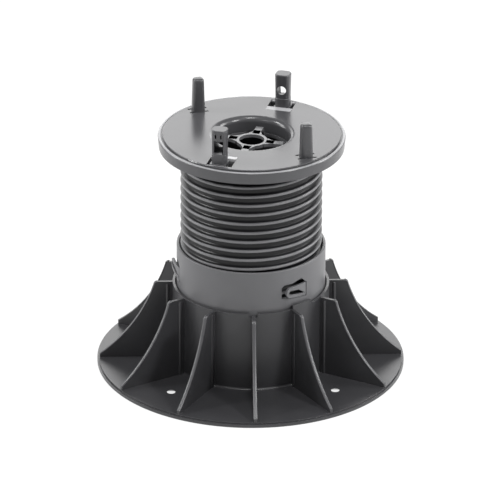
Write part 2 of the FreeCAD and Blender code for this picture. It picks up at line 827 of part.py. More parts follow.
def make_post(number):
    body = new_body(f"eyelet_post_{number}")
    foot_sketch = new_sketch(body, "foot_outline", "XY_Plane", (0, 0, cell.head_top))
    draw_outline(foot_sketch, *rounded_box(cell.post_foot, cell.post_corner))
    extrude(body, "Pad", "foot", foot_sketch, cell.post_foot_height)
    shaft_sketch = new_sketch(body, "shaft_outline", "XY_Plane", (0, 0, cell.head_top))
    draw_outline(shaft_sketch, *rounded_box(cell.post_width, cell.post_corner))
    shaft = extrude(body, "Pad", "shaft", shaft_sketch, cell.post_height)
    round_edges(body, "top_round", shaft, (cell.head_top + cell.post_height).value, cell.post_round)

    # The eyelet's wall is on the inner side; the outer side has a pocket and, above it, two grooves
    eyelet_level = cell.head_top + cell.eyelet_height
    eyelet_sketch = new_sketch(body, "eyelet_outline", "XZ_Plane")
    draw_circle(eyelet_sketch, cell.eyelet_radius, 0, eyelet_level)
    extrude(body, "Pocket", "eyelet", eyelet_sketch, cell.post_width * 2, both=True)
    pocket_sketch = new_sketch(body, "pocket_outline", "XZ_Plane", (0, 0, -cell.post_width))
    pocket_middle = (as_dim(0), eyelet_level - cell.pocket_drop)
    draw_outline(pocket_sketch, box(cell.pocket_width, cell.pocket_height, pocket_middle))
    pocket_depth = cell.post_width * 3 / 2 - cell.eyelet_wall
    extrude(body, "Pocket", "pocket", pocket_sketch, pocket_depth, reverse=True)
    groove_sketch = new_sketch(body, "groove_outlines", "XZ_Plane", (0, 0, -cell.post_width))
    for side in (-1, 1):
        groove_middle = (cell.groove_spacing / 2 * side, eyelet_level + cell.groove_rise)
        draw_outline(groove_sketch, box(cell.groove_width, cell.groove_height, groove_middle))
    extrude(body, "Pocket", "grooves", groove_sketch, cell.post_width / 2 + cell.groove_depth, reverse=True)

    # The neck fills the window's width, and a leg on its outer side clips under the plate
    neck_sketch = new_sketch(body, "neck_outline", "XY_Plane", (0, 0, cell.head_top))
    neck_width = cell.head_window_width - 2 * cell.upstand_clearance
    draw_outline(neck_sketch, box(cell.post_neck, neck_width, (as_dim(0), cell.post_in)))
    extrude(body, "Pad", "neck", neck_sketch, cell.head_thickness - cell.neck_gap, reverse=True)
    leg_sketch = new_sketch(body, "leg_outline", "YZ_Plane")
    draw_leg(leg_sketch, 1, neck_width / 2 + cell.post_in, cell.slit_width)
    extrude(body, "Pad", "leg", leg_sketch, cell.leg_width, both=True)
    around = cell.head_turn.value + 180 * (number - 1)
    set_down(
        body, around,
        (cell.head_window_along + cell.post_along).value, (window_out - cell.post_in).value,
    )
    return body


pieces = [make_foot(), make_collar(), make_riser(), make_head()]
pieces += [make_lever(number) for number in range(1, int(cell.lever_count.value) + 1)]
pieces += [make_pin(number) for number in (1, 2)]
pieces += [make_post(number) for number in (1, 2)]
doc.recompute()

for item in doc.Objects:
    if "Invalid" in item.State or "Error" in item.State:
        raise RuntimeError(f"{item.Label} failed: {item.State}")
os.makedirs("parts", exist_ok=True)
for piece in pieces:
    if piece.Shape.isNull() or not piece.Shape.isValid():
        raise RuntimeError(f"{piece.Label} has no valid shape")
    piece.Shape.exportStep(f"parts/{piece.Label}.step")
    print(piece.Label, len(piece.Shape.Solids), round(piece.Shape.Volume))
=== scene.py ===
import math

import bmesh
import bpy
from bpy.props import FloatProperty, FloatVectorProperty, IntProperty, PointerProperty, StringProperty
from mathutils import Matrix, Vector


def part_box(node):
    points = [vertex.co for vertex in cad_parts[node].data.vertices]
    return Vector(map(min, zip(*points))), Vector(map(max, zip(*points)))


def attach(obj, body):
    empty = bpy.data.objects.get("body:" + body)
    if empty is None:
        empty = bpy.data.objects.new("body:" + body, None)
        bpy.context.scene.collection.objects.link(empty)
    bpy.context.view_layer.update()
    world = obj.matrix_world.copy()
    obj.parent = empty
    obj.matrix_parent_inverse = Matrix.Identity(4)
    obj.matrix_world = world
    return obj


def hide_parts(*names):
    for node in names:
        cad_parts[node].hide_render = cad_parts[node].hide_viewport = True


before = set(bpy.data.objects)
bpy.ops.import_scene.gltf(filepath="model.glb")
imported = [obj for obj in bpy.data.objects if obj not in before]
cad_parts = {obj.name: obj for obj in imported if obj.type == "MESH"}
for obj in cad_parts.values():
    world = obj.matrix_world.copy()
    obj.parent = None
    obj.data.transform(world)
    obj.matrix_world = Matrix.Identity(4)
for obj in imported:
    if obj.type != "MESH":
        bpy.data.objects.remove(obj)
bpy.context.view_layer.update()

bl_info = {
    "name": "Decking pedestal",
    "version": (1, 0, 0),
    "blender": (4, 5, 0),
    "location": "View3D > Sidebar > Pedestal",
    "description": "Dresses the height-adjustable decking pedestal and sets its studio",
    "category": "Object",
}

MM = 0.001
RISER_LOW, RISER_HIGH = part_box("riser_tube")
RISER_WALL = 2.4 * MM
HEAD_TOP = 162.2 * MM
RIB_THICKNESS = 1.8 * MM
RIB_COUNT = 12
SPOKE_COUNT = 4
MARGIN = 0.05 * MM

# Cuts in a post, open outwards: low and high corner in millimetres from the eyelet's middle
POCKET = ((-3.1, -2.1, -5.2), (3.1, 10, 3.6))
GROOVES = (((-2.3, 0.1, 5.0), (-1.2, 10, 8.2)), ((1.2, 0.1, 5.0), (2.3, 10, 8.2)))

# Steps of the round forms
BEAD_SIDES = 10
CORNER_STEPS = 6
DOME_STEPS = 5
FLARE_STEPS = 6
RIM_SIDES = 16
RIM_STEPS = 180
THREAD_STEPS = 96
WALL_STEPS = 128
EYELET_SIDES = 48


# Sizes and colours that a user would change

class PedestalSizes(bpy.types.PropertyGroup):
    edge_round: FloatProperty(
        name="Edge round", description="Radius of the moulded outer edges", default=0.2 * MM,
        unit="LENGTH",
    )
    foot_round: FloatProperty(
        name="Foot round", description="Radius of the foot's edges", default=0.75 * MM, unit="LENGTH",
    )
    screw_flare: FloatProperty(
        name="Screw flare", description="How much wider a screw hole is at the underside", default=2.8,
    )
    bead_half: FloatProperty(
        name="Bead half width", description="Half the width of the bead along a rib's edge",
        default=1.15 * MM, unit="LENGTH",
    )
    bead_rise: FloatProperty(
        name="Bead rise", description="How far a rib's bead stands out", default=0.6 * MM, unit="LENGTH",
    )
    bead_sink: FloatProperty(
        name="Bead sink", description="Depth of a bead's middle in its rib", default=0.1 * MM,
        unit="LENGTH",
    )
    rim_radius: FloatProperty(
        name="Rim radius", description="Radius to the middle of the rim's bead", default=59.35 * MM,
        unit="LENGTH",
    )
    rim_height: FloatProperty(
        name="Rim height", description="Height of the middle of the rim's bead", default=160.85 * MM,
        unit="LENGTH",
    )
    rim_half: FloatProperty(
        name="Rim half width", description="Half the width of the rim's bead", default=0.95 * MM,
        unit="LENGTH",
    )
    rim_rise: FloatProperty(
        name="Rim rise", description="Rise of the rim's bead over its middle", default=0.55 * MM,
        unit="LENGTH",
    )
    screw_circle: FloatProperty(
        name="Screw circle", description="Radius of the circle of screw holes", default=75 * MM,
        unit="LENGTH",
    )
    screw_hole: FloatProperty(
        name="Screw hole", description="Radius of a screw hole", default=2.7 * MM, unit="LENGTH",
    )
    lever_round: FloatProperty(
        name="Lever round", description="Edge radius of the small levers", default=0.2 * MM,
        unit="LENGTH",
    )
    window_length: FloatProperty(
        name="Window length", description="Length of a window in the head", default=16.7 * MM,
        unit="LENGTH",
    )
    window_width: FloatProperty(
        name="Window width", description="Width of a window in the head", default=10.3 * MM,
        unit="LENGTH",
    )
    window_along: FloatProperty(
        name="Window along", description="Place of a window's middle along its length", default=7.05 * MM,
        unit="LENGTH",
    )
    window_out: FloatProperty(
        name="Window out", description="Place of a window's middle out from the head's axis",
        default=48.3 * MM, unit="LENGTH",
    )
    lip_width: FloatProperty(
        name="Lip width", description="Width of the lip along a window's inner edge", default=4.6 * MM,
        unit="LENGTH",
    )
    lip_rise: FloatProperty(
        name="Lip rise", description="Height of the inner lip's edge over the head", default=0.4 * MM,
        unit="LENGTH",
    )
    lip_drop: FloatProperty(
        name="Lip drop", description="Fall of the lip into the window", default=0.5 * MM, unit="LENGTH",
    )
    hub_top: FloatProperty(
        name="Hub top", description="Height of the hub's upper face", default=157.6 * MM, unit="LENGTH",
    )
    hub_radius: FloatProperty(
        name="Hub radius", description="Outer radius of the hub ring", default=10.1 * MM, unit="LENGTH",
    )
    spoke_width: FloatProperty(
        name="Spoke width", description="Width of a spoke", default=4.8 * MM, unit="LENGTH",
    )
    spoke_thickness: FloatProperty(
        name="Spoke thickness", description="Thickness of a spoke", default=2.2 * MM, unit="LENGTH",
    )
    gusset_reach: FloatProperty(
        name="Gusset reach", description="How far a spoke's widened root reaches", default=5.5 * MM,
        unit="LENGTH",
    )
    gusset_flare: FloatProperty(
        name="Gusset flare", description="Widening of a spoke's root on each side", default=2.4 * MM,
        unit="LENGTH",
    )
    pin_turn: FloatProperty(
        name="Pin turn", description="Turn of a pin against the head", default=math.radians(30.0),
        subtype="ANGLE",
    )
    pin_seat: FloatProperty(
        name="Pin seat", description="Depth of a pin's seat in the head", default=0.3 * MM,
        unit="LENGTH",
    )
    pin_rise: FloatProperty(
        name="Pin rise", description="Height of a pin's dome over its solid", default=1.0 * MM,
        unit="LENGTH",
    )
    pin_corner: FloatProperty(
        name="Pin corner", description="Corner radius of a pin's section", default=2.4 * MM,
        unit="LENGTH",
    )
    pin_dome: FloatProperty(
        name="Pin dome", description="Radius of a pin's domed top edge", default=1.8 * MM, unit="LENGTH",
    )
    pin_base: FloatVectorProperty(
        name="Pin base", description="Half width and half depth of a pin at its base", size=2,
        default=(4.1 * MM, 3.8 * MM), unit="LENGTH",
    )
    pin_tip: FloatVectorProperty(
        name="Pin tip", description="Half width and half depth of a pin at its top", size=2,
        default=(3.6 * MM, 3.4 * MM), unit="LENGTH",
    )
    post_along: FloatProperty(
        name="Post along", description="Place of a post along its window", default=8.15 * MM,
        unit="LENGTH",
    )
    post_out: FloatProperty(
        name="Post out", description="Place of a post out from the head's axis", default=47.7 * MM,
        unit="LENGTH",
    )
    post_corner: FloatProperty(
        name="Post corner", description="Corner radius of a post's section", default=3.2 * MM,
        unit="LENGTH",
    )
    post_base: FloatVectorProperty(
        name="Post base", description="Half width and half depth of a post at its base", size=2,
        default=(4.6 * MM, 4.3 * MM), unit="LENGTH",
    )
    post_tip: FloatVectorProperty(
        name="Post tip", description="Half width and half depth of a post at its top", size=2,
        default=(5.0 * MM, 4.6 * MM), unit="LENGTH",
    )
    post_seat: FloatProperty(
        name="Post seat", description="Depth of a post's foot in the head", default=0.5 * MM,
        unit="LENGTH",
    )
    post_dome: FloatProperty(
        name="Post dome", description="Radius of a post's domed top edge", default=0.7 * MM,
        unit="LENGTH",
    )
    post_round: FloatProperty(
        name="Post round", description="Radius of a post's other edges", default=0.18 * MM,
        unit="LENGTH",
    )
    neck_half: FloatVectorProperty(
        name="Neck half", description="Half width and half depth of a post's neck in its window",
        size=2, default=(5.2 * MM, 5.0 * MM), unit="LENGTH",
    )
    boss_half: FloatProperty(
        name="Boss half width", description="Half the width of the boss round a post's foot",
        default=4.8 * MM, unit="LENGTH",
    )
    boss_height: FloatProperty(
        name="Boss height", description="Height of the boss round a post's foot", default=6.4 * MM,
        unit="LENGTH",
    )
    boss_seat: FloatProperty(
        name="Boss seat", description="Depth of the boss's foot in the head", default=0.3 * MM,
        unit="LENGTH",
    )
    boss_corner: FloatProperty(
        name="Boss corner", description="Corner radius of the boss", default=3.4 * MM, unit="LENGTH",
    )
    boss_dome: FloatProperty(
        name="Boss dome", description="Radius of the boss's domed top edge", default=0.6 * MM,
        unit="LENGTH",
    )
    eyelet_height: FloatProperty(
        name="Eyelet height", description="Height of an eyelet over the head", default=12.2 * MM,
        unit="LENGTH",
    )
    eyelet_radius: FloatProperty(
        name="Eyelet radius", description="Radius of an eyelet", default=3.0 * MM, unit="LENGTH",
    )
    hub_round: FloatProperty(
        name="Hub round", description="Edge radius of the riser's hub and spokes", default=0.5 * MM,
        unit="LENGTH",
    )
    thread_pitch: FloatProperty(
        name="Thread pitch", description="Rise of the riser's thread in one turn", default=6.4 * MM,
        unit="LENGTH",
    )
    thread_start: FloatProperty(
        name="Thread start", description="Height of the thread's first section", default=30.44 * MM,
        unit="LENGTH",
    )
    thread_turns: IntProperty(name="Thread turns", description="Turns of the riser's thread", default=19)
    thread_root: FloatProperty(
        name="Thread root", description="Radius of the riser between its threads", default=43.6 * MM,
        unit="LENGTH",
    )
    thread_crest: FloatProperty(
        name="Thread crest", description="Radius over the riser's threads", default=45.9 * MM,
        unit="LENGTH",
    )
    thread_base: FloatProperty(
        name="Thread base", description="Width of a thread at its root", default=4.3 * MM, unit="LENGTH",
    )
    head_turn: FloatProperty(
        name="Head turn", description="Turn of the head and riser against the foot",
        default=math.radians(-17.0), subtype="ANGLE",
    )


class PedestalColours(bpy.types.PropertyGroup):
    foot: StringProperty(name="Foot", description="Colour of the foot, as sRGB hex", default="333335")
    # A painted sheen: the collar and its levers are paler than the other parts
    collar: StringProperty(
        name="Collar", description="Colour of the collar and its levers, as sRGB hex", default="565658",
    )
    # A painted shade: the riser is near black, so that its thread's valleys read dark
    riser: StringProperty(
        name="Riser", description="Colour of the threaded riser, as sRGB hex", default="121214",
    )
    upstand: StringProperty(
        name="Upstands", description="Colour of the pins and posts, as sRGB hex", default="3e3e40",
    )
    # A painted highlight: every rounded edge takes this pale colour
    edge: StringProperty(
        name="Highlight-painted edges", description="Colour of the rounded edges, as sRGB hex", default="868688",
    )
    # A painted highlight: the ribs' beads are paler than the foot
    bead: StringProperty(
        name="Rib beads", description="Colour of the beads along the ribs, as sRGB hex", default="464648",
    )
    # A painted highlight: the hub is paler than the riser it is moulded with
    hub: StringProperty(
        name="Hub", description="Colour of the riser's hub, as sRGB hex", default="5c5c5e",
    )
    # A painted highlight: the window lips are painted pale along their edges
    lip_highlight: StringProperty(
        name="Painted-highlight lips", description="Colour of the bent and glint-painted window lips, as sRGB hex",
        default="9a9a9c",
    )
    # A painted highlight: the thread is painted this lighter colour towards its crests
    highlit: StringProperty(
        name="Highlight-painted crest", description="Colour of the thread's rubbed crests, as sRGB hex",
        default="727274",
    )
    head: StringProperty(
        name="Head", description="Colour of the head, as sRGB hex", default="424244",
    )
    floor: StringProperty(
        name="Floor", description="Colour of the studio floor, as sRGB hex", default="f4f4f4",
    )
    roughness: FloatProperty(
        name="Roughness", description="Roughness of the moulded surface", default=0.28, min=0, max=1,
    )


def linear(hex_colour):
    """An sRGB hex colour as a linear RGBA value."""
    channels = [int(hex_colour[i:i + 2], 16) / 255 for i in (0, 2, 4)]
    return [c / 12.92 if c <= 0.04045 else ((c + 0.055) / 1.055) ** 2.4 for c in channels] + [1]


# Materials: grain as coarse as it needs to show (a real mould's grain is about 0.1 mm) and flow marks in
# their real size; noise breaks up the painted highlight on the thread's crests

GRAIN_MM = 0.7
GRAIN_DEPTH_MM = 0.03
THREAD_GRAIN_DEPTH_MM = 0.02    # worn smoother in the nut
FLOW_MARK_MM = 28
HIGHLIGHT_NOISE_MM = 6
HIGHLIGHT_STARTS = 0.55              # share of the thread's depth from which the painted highlight starts
FLOOR_GLOW = 0.82               # share of plain white in the floor as the camera sees it


def add_node(tree, kind, settings=None, links=None):
    """Add a node; settings go to its fields or, by name or number, its sockets; links feed sockets."""
    node = tree.nodes.new(kind)
    for key, value in (settings or {}).items():
        if isinstance(key, str) and hasattr(node, key):
            setattr(node, key, value)
        else:
            node.inputs[key].default_value = value
    for key, output in (links or {}).items():
        tree.links.new(output, node.inputs[key])
    return node


def moulded_plastic(name, colour, roughness, depth_mm):
    """Injection-moulded polypropylene: dark, satin, with a fine spark-eroded grain of the given depth
    and faint flow marks that make the gloss uneven from place to place."""
    material = bpy.data.materials.new(name)
    material.use_nodes = True
    tree = material.node_tree
    tree.nodes.clear()
    place = add_node(tree, "ShaderNodeTexCoord").outputs["Object"]
    flow = add_node(
        tree, "ShaderNodeTexNoise", {"Scale": 1 / (FLOW_MARK_MM * MM), "Detail": 3.0}, {"Vector": place},
    )
    grain = add_node(
        tree, "ShaderNodeTexNoise", {"Scale": 1 / (GRAIN_MM * MM), "Detail": 2.0}, {"Vector": place},
    )
    rgba = linear(colour)
    darker = [c * 0.86 for c in rgba[:3]] + [1]
    lighter = [c * 1.18 for c in rgba[:3]] + [1]
    tone = add_node(
        tree, "ShaderNodeMix", {"data_type": "RGBA", 6: darker, 7: lighter}, {0: flow.outputs["Fac"]},
    )
    gloss = add_node(
        tree, "ShaderNodeMapRange", {"To Min": roughness - 0.05, "To Max": roughness + 0.07},
        {"Value": flow.outputs["Fac"]},
    )
    bump = add_node(
        tree, "ShaderNodeBump", {"Strength": 0.35, "Distance": depth_mm * MM},
        {"Height": grain.outputs["Fac"]},
    )
    shader = add_node(
        tree, "ShaderNodeBsdfPrincipled", {"IOR": 1.49},
        {"Base Color": tone.outputs[2], "Roughness": gloss.outputs[0], "Normal": bump.outputs[0]},
    )
    add_node(tree, "ShaderNodeOutputMaterial", links={"Surface": shader.outputs[0]})
    return material


def thread_with_painted_light(name, colour, highlit, roughness, root, crest):
    """Moulded polypropylene of the thread, with weak gloss: its near-black colour is a painted shade for
    the valleys, and towards the crests it is painted lighter, a painted highlight that noise breaks up."""
    material = moulded_plastic(name, colour, roughness, THREAD_GRAIN_DEPTH_MM)
    tree = material.node_tree
    shader = next(node for node in tree.nodes if node.type == "BSDF_PRINCIPLED")
    shader.inputs["Specular IOR Level"].default_value = 0.35
    place = add_node(tree, "ShaderNodeTexCoord").outputs["Object"]
    level = add_node(tree, "ShaderNodeVectorMath", {"operation": "MULTIPLY", 1: (1, 1, 0)}, {0: place})
    radius = add_node(tree, "ShaderNodeVectorMath", {"operation": "LENGTH"}, {0: level.outputs[0]})
    # Painted highlight: the colour turns lighter from this radius out to the crest, broken up by noise
    highlit_from = root + (crest - root) * HIGHLIGHT_STARTS
    toward_crest = add_node(
        tree, "ShaderNodeMapRange", {"From Min": highlit_from, "From Max": crest},
        {"Value": radius.outputs["Value"]},
    )
    highlight_noise = add_node(
        tree, "ShaderNodeTexNoise", {"Scale": 1 / (HIGHLIGHT_NOISE_MM * MM), "Detail": 4.0}, {"Vector": place},
    )
    share = add_node(
        tree, "ShaderNodeMapRange", {"To Min": 0.7, "To Max": 1.0}, {"Value": highlight_noise.outputs["Fac"]},
    )
    highlight_mask = add_node(
        tree, "ShaderNodeMath", {"operation": "MULTIPLY"}, {0: toward_crest.outputs[0], 1: share.outputs[0]},
    )
    tone = add_node(
        tree, "ShaderNodeMix", {"data_type": "RGBA", 7: linear(highlit)},
        {0: highlight_mask.outputs[0], 6: shader.inputs["Base Color"].links[0].from_socket},
    )
    tree.links.new(tone.outputs[2], shader.inputs["Base Color"])
    return material


def studio_floor(name, colour):
    """Matt paper sweep: the camera and the gloss see it nearly white, with the soft shadow kept."""
    material = bpy.data.materials.new(name)
    material.use_nodes = True
    tree = material.node_tree
    tree.nodes.clear()
    paper = add_node(tree, "ShaderNodeBsdfDiffuse", {"Color": linear(colour)})
    glow = add_node(tree, "ShaderNodeEmission", {"Color": (1, 1, 1, 1), "Strength": 1.0})
    path = add_node(tree, "ShaderNodeLightPath")
    seen = path.outputs["Is Camera Ray"]
    for ray in ("Is Glossy Ray", "Is Transmission Ray"):
        seen = add_node(
            tree, "ShaderNodeMath", {"operation": "MAXIMUM"}, {0: seen, 1: path.outputs[ray]},
        ).outputs[0]
    share = add_node(tree, "ShaderNodeMath", {"operation": "MULTIPLY", 1: FLOOR_GLOW}, {0: seen})
    mix = add_node(
        tree, "ShaderNodeMixShader", {}, {0: share.outputs[0], 1: paper.outputs[0], 2: glow.outputs[0]},
    )
    add_node(tree, "ShaderNodeOutputMaterial", links={"Surface": mix.outputs[0]})
    return material


def get_plastic(kind):
    """The moulded polypropylene of one group of pieces, made once."""
    colours = bpy.context.scene.pedestal_colours
    name = f"moulded_polypropylene_{kind}"
    if name in bpy.data.materials:
        return bpy.data.materials[name]
    colour, change = {
        "foot": (colours.foot, 0.06),         # darkest and dullest, straight from a grained mould
        "bead": (colours.bead, 0.06),         # the ribs' edge beads, a little paler: a painted highlight
        "collar": (colours.collar, 0.12),     # paler and matt: a painted sheen
        "riser": (colours.riser, 0.08),       # near black: a painted shade for the thread's valleys
        "hub": (colours.hub, -0.08),          # glossy, so the ring and spokes catch the light; paler: a painted highlight
        "head": (colours.head, -0.05),        # satin, mirrors the upstands faintly
        "upstand": (colours.upstand, 0.0),    # satin
        "lip": (colours.lip_highlight, 0.02),      # pale: a painted highlight along the windows' edges
        "edge": (colours.edge, -0.06),        # rounded edges, painted pale as a highlight, and smooth
    }[kind]
    if kind == "riser":
        sizes = bpy.context.scene.pedestal_sizes
        return thread_with_painted_light(
            name, colour, colours.highlit, colours.roughness + change, sizes.thread_root,
            sizes.thread_crest,
        )
    return moulded_plastic(name, colour, colours.roughness + change, GRAIN_DEPTH_MM)


# Mesh helpers

def finish_piece(piece, body, kind, slot, *nodes):
    """Give a piece its material, the edges' pale material that paints a highlight, and its body; hide
    the CAD nodes it stands for.
    """
    piece.data.materials.clear()
    piece.data.materials.append(get_plastic(kind))
    piece.data.materials.append(get_plastic("edge"))
    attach(piece, body)
    if nodes:
        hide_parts(*nodes)
    return piece


def smooth_mesh(mesh, angle=32):
    """Shade a mesh smooth, but keep the edges that are sharper than the angle, in degrees."""
    mesh.polygons.foreach_set("use_smooth", [True] * len(mesh.polygons))
    mesh.set_sharp_from_angle(angle=math.radians(angle))


def add_bevel(piece, width, segments=2, angle=32):
    """Round a piece's sharp edges, as the mould leaves them, and keep its flat faces flat."""
    bevel = piece.modifiers.new("moulded_edges", "BEVEL")
    bevel.width = width
    bevel.segments = segments
    bevel.limit_method = "ANGLE"
    bevel.angle_limit = math.radians(angle)
    bevel.use_clamp_overlap = True
    # The rounded edges take the second material, the pale edge plastic: a painted highlight
    bevel.material = 1
    normals = piece.modifiers.new("flat_faces_stay_flat", "WEIGHTED_NORMAL")
    normals.mode = "FACE_AREA"
    normals.weight = 100
    normals.keep_sharp = True


def new_piece(name, bm):
    """An object from a bmesh, which is used up."""
    mesh = bpy.data.meshes.new(name)
    bm.normal_update()
    bm.to_mesh(mesh)
    bm.free()
    piece = bpy.data.objects.new(name, mesh)
    bpy.context.scene.collection.objects.link(piece)
    return piece


def clean(bm):
    """Join the solid's face corners and drop the edges that lie within a flat face."""
    bmesh.ops.remove_doubles(bm, verts=bm.verts, dist=0.002 * MM)
    bmesh.ops.dissolve_limit(
        bm, angle_limit=math.radians(0.4), verts=bm.verts, edges=bm.edges, delimit=set(),
    )


def dress(node, name, body, kind, slot, width):
    """A copy of a CAD node with its edges rounded as the mould leaves them."""
    bm = bmesh.new()
    bm.from_mesh(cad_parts[node].data)
    clean(bm)
    piece = new_piece(name, bm)
    smooth_mesh(piece.data)
    add_bevel(piece, width)
    return finish_piece(piece, body, kind, slot, node)


def lathe(bm, profile, steps):
    """Turn a closed profile of (radius, height) about the Z axis."""
    rings = []
    for step in range(steps):
        angle = 2 * math.pi * step / steps
        rings.append([bm.verts.new((r * math.cos(angle), r * math.sin(angle), z)) for r, z in profile])
    for step in range(steps):
        here, there = rings[step], rings[(step + 1) % steps]
        for i in range(len(profile)):
            j = (i + 1) % len(profile)
            bm.faces.new((here[i], there[i], there[j], here[j]))


def sweep_helix(bm, section, first, start, pitch, turns, steps):
    """Sweep an open section of (radius, rise) along a right-handed helix that passes the start's level
    at angle 0 and begins at the first angle, and close its two ends."""
    rows = []
    total = turns * steps
    for step in range(total + 1):
        angle = first + 2 * math.pi * step / steps
        level = start + pitch * angle / (2 * math.pi)
        rows.append([
            bm.verts.new((r * math.cos(angle), r * math.sin(angle), level + rise)) for r, rise in section
        ])
    for here, there in zip(rows, rows[1:]):
        for i in range(len(section) - 1):
            bm.faces.new((here[i], there[i], there[i + 1], here[i + 1]))
    bm.faces.new(rows[0])
    bm.faces.new(list(reversed(rows[-1])))


def rib_edge():
    """The curved outer edge of the rib along +X as (radius, height), from its toe to its top."""
    half = RIB_THICKNESS / 2
    tube_reach, floor_reach = 57 * MM, 5 * MM
    points = {
        (round(v.co.x, 5), round(v.co.z, 5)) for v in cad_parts["base_foot"].data.vertices
        if abs(abs(v.co.y) - half) < 0.03 * MM and v.co.x > tube_reach and v.co.z > floor_reach
    }
    return [Vector(point) for point in sorted(points, key=lambda point: (point[1], -point[0]))]


def rib_bead(bm, sizes, line, turn):
    """A rounded bead along a rib's outer edge."""
    rows = []
    for number, point in enumerate(line):
        before, after = line[max(number - 1, 0)], line[min(number + 1, len(line) - 1)]
        along = (after - before).normalized()
        out = Vector((along.y, -along.x))
        row = []
        for step in range(BEAD_SIDES):
            angle = 2 * math.pi * step / BEAD_SIDES
            across = sizes.bead_half * math.cos(angle)
            spot = point + out * (sizes.bead_rise * math.sin(angle) - sizes.bead_sink)
            row.append(bm.verts.new(Matrix.Rotation(turn, 3, "Z") @ Vector((spot.x, across, spot.y))))
        rows.append(row)
    for here, there in zip(rows, rows[1:]):
        for i in range(BEAD_SIDES):
            j = (i + 1) % BEAD_SIDES
            bm.faces.new((here[i], here[j], there[j], there[i]))
    bm.faces.new(list(reversed(rows[0])))
    bm.faces.new(rows[-1])


def hub_gusset(bm, sizes, turn):
    """Widen a spoke where it runs into the hub."""
    levels = (sizes.hub_top, sizes.hub_top - sizes.spoke_thickness)
    in_hub = 0.6 * MM
    rows = []
    for step in range(FLARE_STEPS + 1):
        share = 1 - step / FLARE_STEPS
        out = sizes.hub_radius - in_hub + step * sizes.gusset_reach / FLARE_STEPS
        half = sizes.spoke_width / 2 + sizes.gusset_flare * share ** 2
        corners = [(half, levels[0]), (-half, levels[0]), (-half, levels[1]), (half, levels[1])]
        rows.append([
            bm.verts.new((
                out * math.cos(turn) - across * math.sin(turn),
                out * math.sin(turn) + across * math.cos(turn), z,
            ))
            for across, z in corners
        ])
    for here, there in zip(rows, rows[1:]):
        for i in range(4):
            j = (i + 1) % 4
            bm.faces.new((here[i], there[i], there[j], here[j]))
    bm.faces.new(rows[0])
    bm.faces.new(list(reversed(rows[-1])))


def rounded_ring(half_across, half_deep, corner, level):
    """The corners of a level rounded rectangle, anticlockwise."""
    points = []
    for quarter, (sx, sy) in enumerate(((1, 1), (-1, 1), (-1, -1), (1, -1))):
        for step in range(CORNER_STEPS + 1):
            angle = math.pi / 2 * (quarter + step / CORNER_STEPS)
            points.append((
                sx * (half_across - corner) + corner * math.cos(angle),
                sy * (half_deep - corner) + corner * math.sin(angle), level,
            ))
    return points


def loft(bm, rings):
    """Skin a stack of rings of equal count, with both ends closed."""
    rows = [[bm.verts.new(point) for point in ring] for ring in rings]
    for here, there in zip(rows, rows[1:]):
        for i in range(len(here)):
            j = (i + 1) % len(here)
            bm.faces.new((here[i], here[j], there[j], there[i]))
    bm.faces.new(list(reversed(rows[0])))
    bm.faces.new(rows[-1])


def upstand_rings(low, high, base, top, corner, dome):
    """Rings of a tapered shaft from one level to another, its top edge rounded by the dome's radius."""
    rings = [rounded_ring(base[0], base[1], corner, low)]
    least_corner = 0.3 * MM
    for step in range(DOME_STEPS + 1):
        angle = math.pi / 2 * step / DOME_STEPS
        inset = dome * (1 - math.cos(angle))
        rings.append(rounded_ring(
            top[0] - inset, top[1] - inset, max(corner - inset, least_corner),
            high - dome + dome * math.sin(angle),
        ))
    return rings


def keep_below(node, level):
    """A node's faces below a level, such as the legs that clip under the plate."""
    bm = bmesh.new()
    bm.from_mesh(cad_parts[node].data)
    clean(bm)
    bmesh.ops.delete(bm, geom=[v for v in bm.verts if v.co.z > level], context="VERTS")
    return bm


def cut_box(low, high, level):
    """A box to cut with, from its low to its high corner in millimetres, heights taken from a level."""
    low, high = (Vector(corner) * MM + Vector((0, 0, level)) for corner in (low, high))
    bm = bmesh.new()
    bmesh.ops.create_cube(bm, size=1)
    for vertex in bm.verts:
        vertex.co = Vector([lo + (hi - lo) * (c + 0.5) for lo, hi, c in zip(low, high, vertex.co)])
    return bm


def cut_away(piece, cutters):
    """Take the cutters' shapes out of a piece and keep the result as its mesh."""
    for number, bm in enumerate(cutters):
        cutter = new_piece(f"cutter_{number}", bm)
        boolean = piece.modifiers.new(f"cut_{number}", "BOOLEAN")
        boolean.operation = "DIFFERENCE"
        boolean.solver = "EXACT"
        boolean.object = cutter
    graph = bpy.context.evaluated_depsgraph_get()
    mesh = bpy.data.meshes.new_from_object(piece.evaluated_get(graph))
    tools = [modifier.object for modifier in piece.modifiers]
    piece.modifiers.clear()
    piece.data = mesh
    for cutter in tools:
        bpy.data.objects.remove(cutter)


def join_below(piece, bm, place):
    """Set a piece, modelled about its own axis, in its place and join it with a node's lower faces."""
    piece.data.transform(place)
    bm.from_mesh(piece.data)
    bm.to_mesh(piece.data)
    bm.free()


def build_pin(sizes, number):
    """A rounded slim upstand with a domed top, on its node's own legs."""
    node = f"spacer_pin_{number}"
    low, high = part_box(node)
    seat = HEAD_TOP - sizes.pin_seat
    bm = bmesh.new()
    loft(bm, upstand_rings(
        seat, high.z + sizes.pin_rise, sizes.pin_base, sizes.pin_tip, sizes.pin_corner, sizes.pin_dome,
    ))
    pin = new_piece(f"pin_moulding_{number}", bm)
    place = Matrix.Translation((*((low + high) / 2).xy, 0))
    place @= Matrix.Rotation(sizes.head_turn + sizes.pin_turn + math.pi * number, 4, "Z")
    join_below(pin, keep_below(node, seat + MARGIN), place)
    smooth_mesh(pin.data, 40)
    finish_piece(pin, "lift", "upstand", "upstand_plastic", node)


